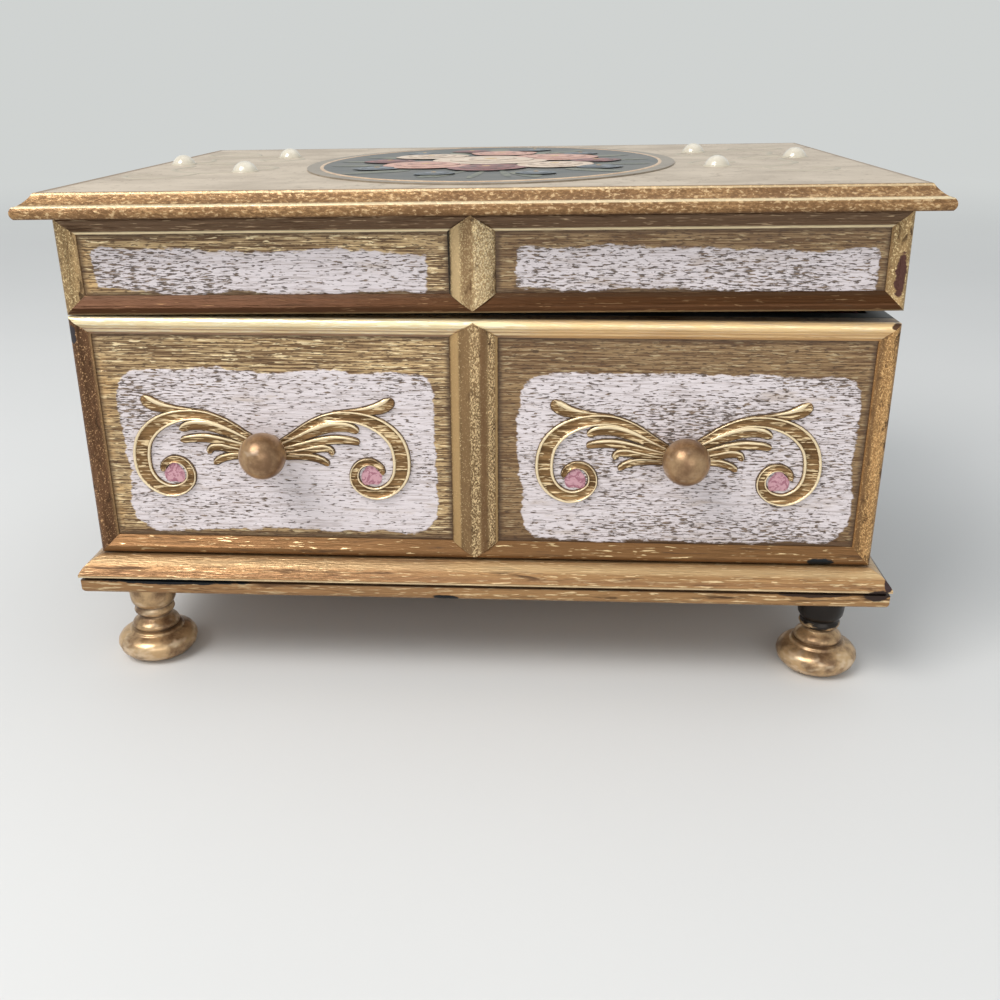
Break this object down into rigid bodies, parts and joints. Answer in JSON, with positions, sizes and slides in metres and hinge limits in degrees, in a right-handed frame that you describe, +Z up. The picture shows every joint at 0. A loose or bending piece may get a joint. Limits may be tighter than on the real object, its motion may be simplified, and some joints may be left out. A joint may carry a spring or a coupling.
{
  "type": "musical jewelry box",
  "caption": "Footed wooden casket with a hinged mirror lid over a velvet tray, a full-width drawer with false drawer fronts, and a key-wound musical movement.",
  "frame": {"origin": "on the table under the middle of the box's bounding box", "axes": "+X to the viewer's right, +Y to the back, +Z up"},
  "size_m": [0.22, 0.1688, 0.1352],
  "materials": {
    "gilded_wood": "antique gold paint combed over wood with brown glaze",
    "painted_wood": "distressed white paint over gold, raised gold scrolls",
    "dark_wood": "worn black lacquer",
    "plain_wood": "bare softwood, stained",
    "bronzed_wood": "satin bronze paint",
    "velvet": "deep red velvet on card",
    "printed_paper": "varnished oval flower print",
    "pearl": "pearly half beads",
    "mirror_glass": "silvered glass",
    "hinge_brass": "aged brass",
    "movement_brass": "bright brass",
    "movement_zinc": "plated casting",
    "movement_steel": "ground steel",
    "key_steel": "plated steel"
  },
  "bodies": {
    "case": {"base_board": "gilded_wood", "case_back": "dark_wood", "case_bulkhead": "plain_wood", "case_front_rail": "dark_wood", "case_left": "dark_wood", "case_right": "dark_wood", "comb": "movement_steel", "feet": "gilded_wood", "hinge_case_left": "hinge_brass", "hinge_case_right": "hinge_brass", "movement_frame": "movement_zinc", "ring_roll_1": "velvet", "ring_roll_2": "velvet", "ring_roll_3": "velvet", "tray_divider": "velvet", "tray_floor": "plain_wood", "tray_lining": "velvet"},
    "drawer": {"drawer_back": "plain_wood", "drawer_bottom": "plain_wood", "drawer_front": "painted_wood", "drawer_knobs": "bronzed_wood", "drawer_left": "plain_wood", "drawer_lining": "velvet", "drawer_pilaster": "gilded_wood", "drawer_rail_bottom": "gilded_wood", "drawer_rail_top": "gilded_wood", "drawer_right": "plain_wood", "drawer_stile_left": "gilded_wood", "drawer_stile_right": "gilded_wood"},
    "lid": {"hinge_lid_left": "hinge_brass", "hinge_lid_right": "hinge_brass", "lid_back": "dark_wood", "lid_cap": "gilded_wood", "lid_front": "painted_wood", "lid_left": "painted_wood", "lid_medallion": "printed_paper", "lid_pearls": "pearl", "lid_pilaster": "gilded_wood", "lid_rail_bottom": "gilded_wood", "lid_rail_top": "gilded_wood", "lid_right": "painted_wood", "lid_stile_left": "gilded_wood", "lid_stile_right": "gilded_wood", "mirror": "mirror_glass", "mirror_frame": "gilded_wood"},
    "key": {"winding_arbor": "movement_steel", "winding_key": "key_steel"},
    "barrel": {"spring_barrel": "movement_brass"},
    "cylinder": {"tune_cylinder": "movement_brass"},
    "fly": {"governor_fly": "movement_steel"},
    "stop": {"stop_wire": "movement_steel"}
  },
  "joints": [
    {"name": "lid_hinge", "type": "hinge", "parent": "case", "child": "lid", "pos_m": [0, 0.0796, 0.09945], "axis": [-1, 0, 0], "range_deg": [0, 95]},
    {"name": "drawer_slide", "type": "slide", "parent": "case", "child": "drawer", "axis": [0, -1, 0], "range_m": [0, 0.08]},
    {"name": "key_wind", "type": "hinge", "parent": "case", "child": "key", "pos_m": [0.03, 0.0494, 0.0343], "axis": [0, 0, 1], "continuous": true},
    {"name": "barrel_spin", "type": "hinge", "parent": "case", "child": "barrel", "pos_m": [0.03, 0.0494, 0.0343], "axis": [0, 0, 1], "continuous": true},
    {"name": "cylinder_spin", "type": "hinge", "parent": "case", "child": "cylinder", "pos_m": [0.0421, 0.0494, 0.05039], "axis": [1, 0, 0], "continuous": true},
    {"name": "fly_spin", "type": "hinge", "parent": "case", "child": "fly", "pos_m": [0.0677, 0.03732, 0.05039], "axis": [0, 0, 1], "continuous": true},
    {"name": "stop_slide", "type": "slide", "parent": "case", "child": "stop", "axis": [0, 0, 1], "range_m": [0, 0.004]}
  ],
  "couplings": [
    {"joint": "cylinder_spin", "follows": "barrel_spin", "ratio": 3},
    {"joint": "fly_spin", "follows": "barrel_spin", "ratio": 60},
    {"joint": "stop_slide", "follows": "lid_hinge", "m_per_rad": 0.0024}
  ]
}
